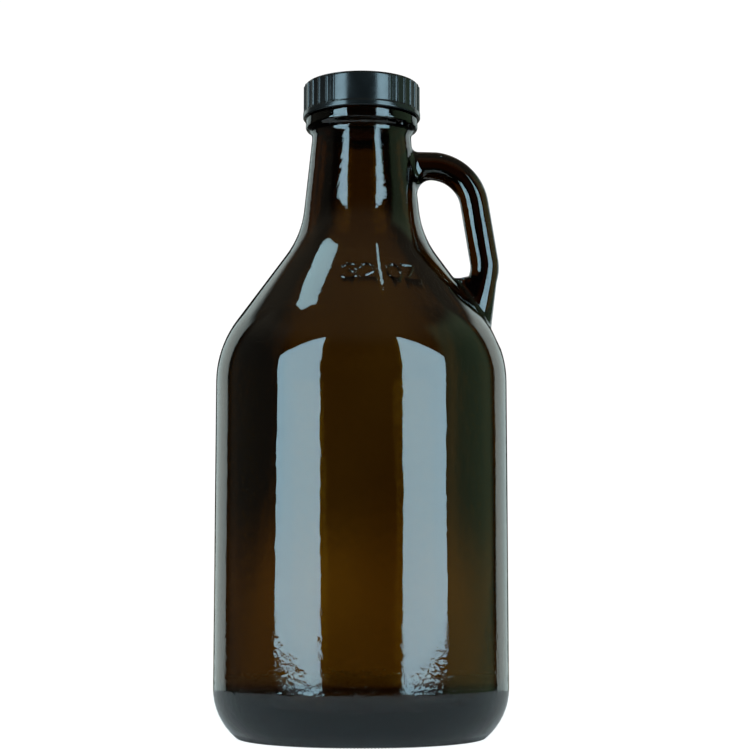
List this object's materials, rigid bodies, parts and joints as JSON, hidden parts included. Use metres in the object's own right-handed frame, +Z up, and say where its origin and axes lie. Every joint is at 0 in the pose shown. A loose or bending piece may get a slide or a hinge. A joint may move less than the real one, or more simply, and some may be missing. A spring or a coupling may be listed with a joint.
{
  "type": "growler",
  "caption": "Round glass growler with a straight body, sloping shoulder, long neck, moulded-in finger handle and a ribbed screw cap with a cone liner. The cap unscrews.",
  "frame": {"origin": "on the bottle's axis, in the plane that the base stands on", "axes": "+Z up along the bottle's axis towards the cap, +X towards the handle, -Y the side with the raised capacity mark"},
  "size_m": [0.0982, 0.0982, 0.2214],
  "materials": {
    "amber_glass": "gloss",
    "black_plastic": "satin",
    "white_polyethylene": "matt"
  },
  "bodies": {
    "jug": {"glass_jug": "amber_glass"},
    "liner": {"cone_liner": "white_polyethylene"},
    "cap": {"screw_cap": "black_plastic"}
  },
  "joints": [
    {"name": "cap_lift", "type": "slide", "parent": "jug", "child": "liner", "axis": [0, 0, 1], "range_m": [0, 0.017]},
    {"name": "cap_turn", "type": "hinge", "parent": "liner", "child": "cap", "pos_m": [0, 0, 0.2154], "axis": [0, 0, 1], "range_deg": [0, 1440]}
  ],
  "couplings": [
    {"joint": "cap_lift", "follows": "cap_turn", "m_per_rad": 0.0006737}
  ]
}
